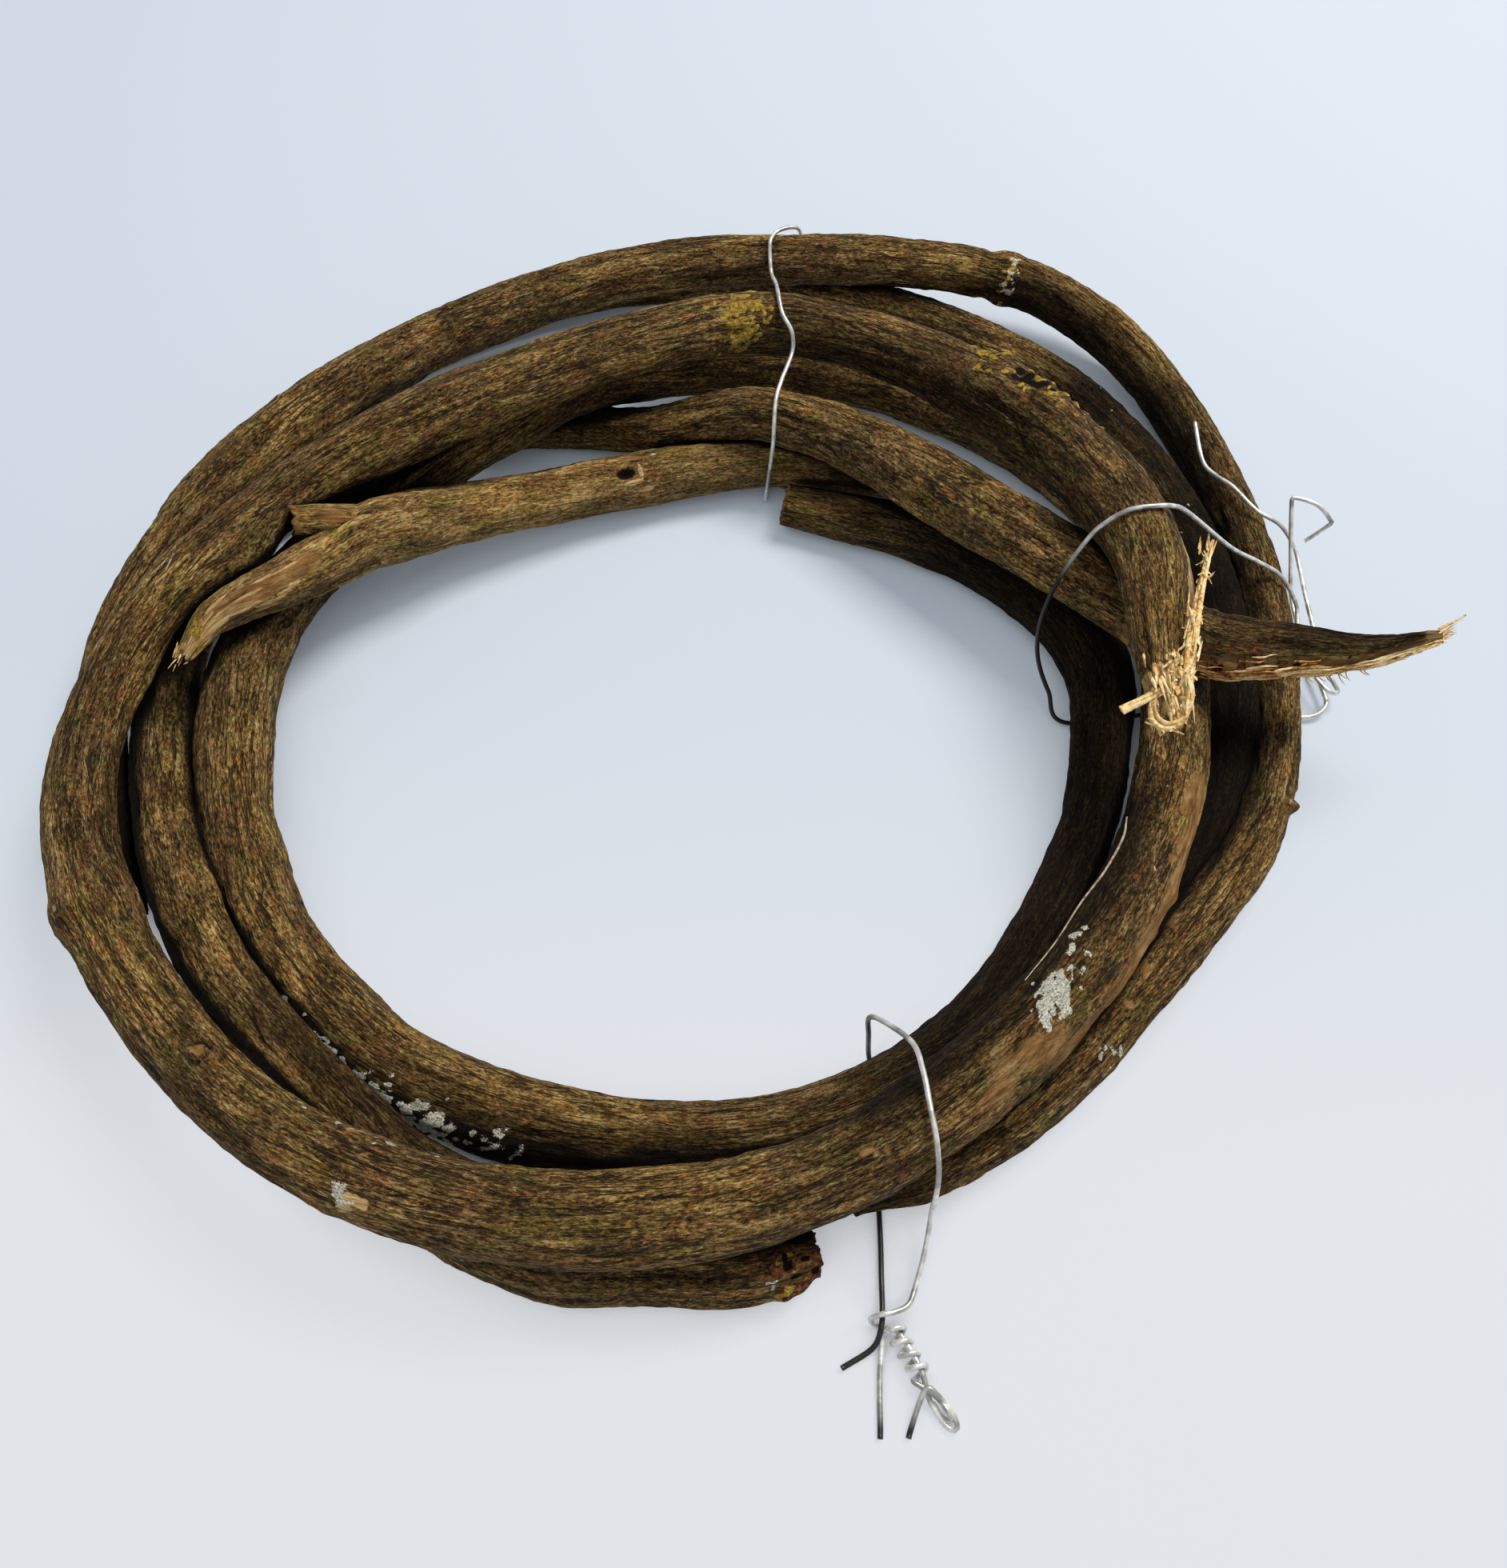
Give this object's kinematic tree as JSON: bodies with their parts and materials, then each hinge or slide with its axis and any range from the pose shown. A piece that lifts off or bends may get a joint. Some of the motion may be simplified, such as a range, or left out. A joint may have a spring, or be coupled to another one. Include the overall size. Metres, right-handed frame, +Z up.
{
  "type": "hank of vine stems",
  "caption": "Woody vine stems wound into a flat ring and tied with thin wire, with a short forked twig laid across the hole. Lies flat.",
  "frame": {"origin": "on the surface it lies on, under the middle of the whole hank", "axes": "+Z up; +X towards the split end that sticks out of the ring; -Y towards the twisted ends of the front tie"},
  "size_m": [0.3162, 0.3248, 0.0547],
  "materials": {
    "bark": "rough fibrous bark",
    "twig_bark": "rough fibrous bark",
    "torn_wood": "torn pale wood",
    "wire": "soft bright wire"
  },
  "bodies": {
    "root": {"long_stem": "bark", "split_stem": "bark", "outer_stem": "bark", "under_stem": "bark", "twig_stem": "twig_bark", "twig_branch": "twig_bark", "twig_stub": "twig_bark", "top_tie": "wire", "right_tie": "wire", "front_tie": "wire", "front_lacing": "wire"}
  },
  "joints": []
}
